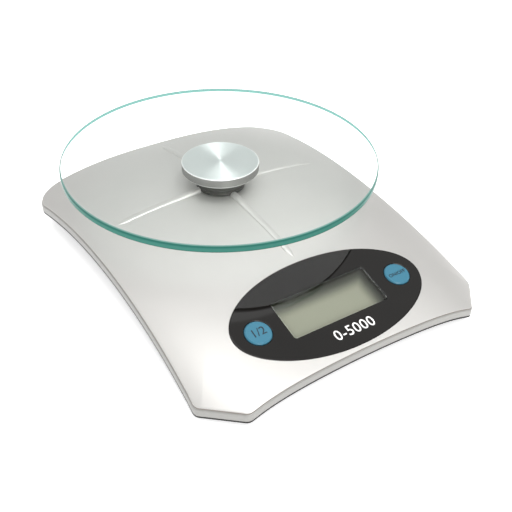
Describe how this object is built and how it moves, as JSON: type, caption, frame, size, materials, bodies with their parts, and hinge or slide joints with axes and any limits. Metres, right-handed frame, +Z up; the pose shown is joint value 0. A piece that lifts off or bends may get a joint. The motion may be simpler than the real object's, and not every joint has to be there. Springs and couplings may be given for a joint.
{
  "type": "digital kitchen scale",
  "caption": "Electronic kitchen scale: round glass platter on an aluminium disc over a crowned silver body with an oval display panel, push buttons and a battery bay.",
  "frame": {"origin": "on the table, under the middle of the whole outline in plan", "axes": "+Z up, +Y to the rear of the scale, +X to the user's right; the display faces -Y"},
  "size_m": [0.17, 0.2172, 0.054],
  "materials": {
    "platter_glass": "clear tempered glass with a polished green edge",
    "disc_aluminium": "turned, with fine concentric lines",
    "hub_plastic": "dark grey, fine satin",
    "screw_steel": "zinc plated",
    "cover_silver": "satin silver paint with a fine grain",
    "housing_silver": "satin silver paint",
    "base_plastic": "moulded, fine texture",
    "tray_plastic": "moulded, dark",
    "panel_black": "high gloss black",
    "window_clear": "clear acrylic, polished",
    "lcd_grey": "grey-green liquid crystal display, satin",
    "frame_grey": "plain dark grey",
    "zebra_rubber": "conductive strips",
    "board_green": "green solder mask",
    "chip_resin": "black resin",
    "switch_plastic": "plain black",
    "button_blue": "blue, lightly glossy",
    "cell_aluminium": "milled",
    "gauge_foil": "foil under clear resin",
    "lead_red": "thin insulated wire",
    "battery_jacket": "printed jacket with no lettering",
    "contact_nickel": "nickel plated",
    "foot_rubber": "matt black rubber"
  },
  "bodies": {
    "scale_base": {"hub_collar": "hub_plastic", "top_plate": "cover_silver", "upper_housing": "housing_silver", "panel_tray": "tray_plastic", "lower_housing": "base_plastic", "display_panel": "panel_black", "window_lens": "window_clear", "lcd_glass": "lcd_grey", "lcd_frame": "frame_grey", "zebra_strips": "zebra_rubber", "main_board": "board_green", "board_chips": "chip_resin", "board_screws": "screw_steel", "switch_bases": "switch_plastic", "load_cell": "cell_aluminium", "strain_gauges": "gauge_foil", "load_cell_spacer": "cell_aluminium", "load_cell_screws": "screw_steel", "gauge_leads": "lead_red", "battery_leads": "lead_red", "battery_cells": "battery_jacket", "contact_springs": "contact_nickel", "contact_plates": "contact_nickel", "rubber_feet": "foot_rubber", "housing_screws": "screw_steel"},
    "platter": {"glass_plate": "platter_glass", "hub_disc": "disc_aluminium", "hub_spigot": "hub_plastic", "hub_screw": "screw_steel"},
    "unit_key": {"unit_button": "button_blue", "unit_plunger": "switch_plastic"},
    "power_key": {"power_button": "button_blue", "power_plunger": "switch_plastic"},
    "battery_lid": {"battery_door": "base_plastic"}
  },
  "joints": [
    {"name": "platter_press", "type": "slide", "parent": "scale_base", "child": "platter", "axis": [0, 0, 1], "range_m": [-0.0008, 0], "stiffness_N_per_m": 62000, "deforming": ["load_cell"]},
    {"name": "unit_press", "type": "slide", "parent": "scale_base", "child": "unit_key", "axis": [0, -0.2443, 0.9697], "range_m": [-0.0005, 0], "stiffness_N_per_m": 3000},
    {"name": "power_press", "type": "slide", "parent": "scale_base", "child": "power_key", "axis": [0, -0.2443, 0.9697], "range_m": [-0.0005, 0], "stiffness_N_per_m": 3000},
    {"name": "battery_door_slide", "type": "slide", "parent": "scale_base", "child": "battery_lid", "axis": [0, 1, 0], "range_m": [0, 0.027]}
  ]
}
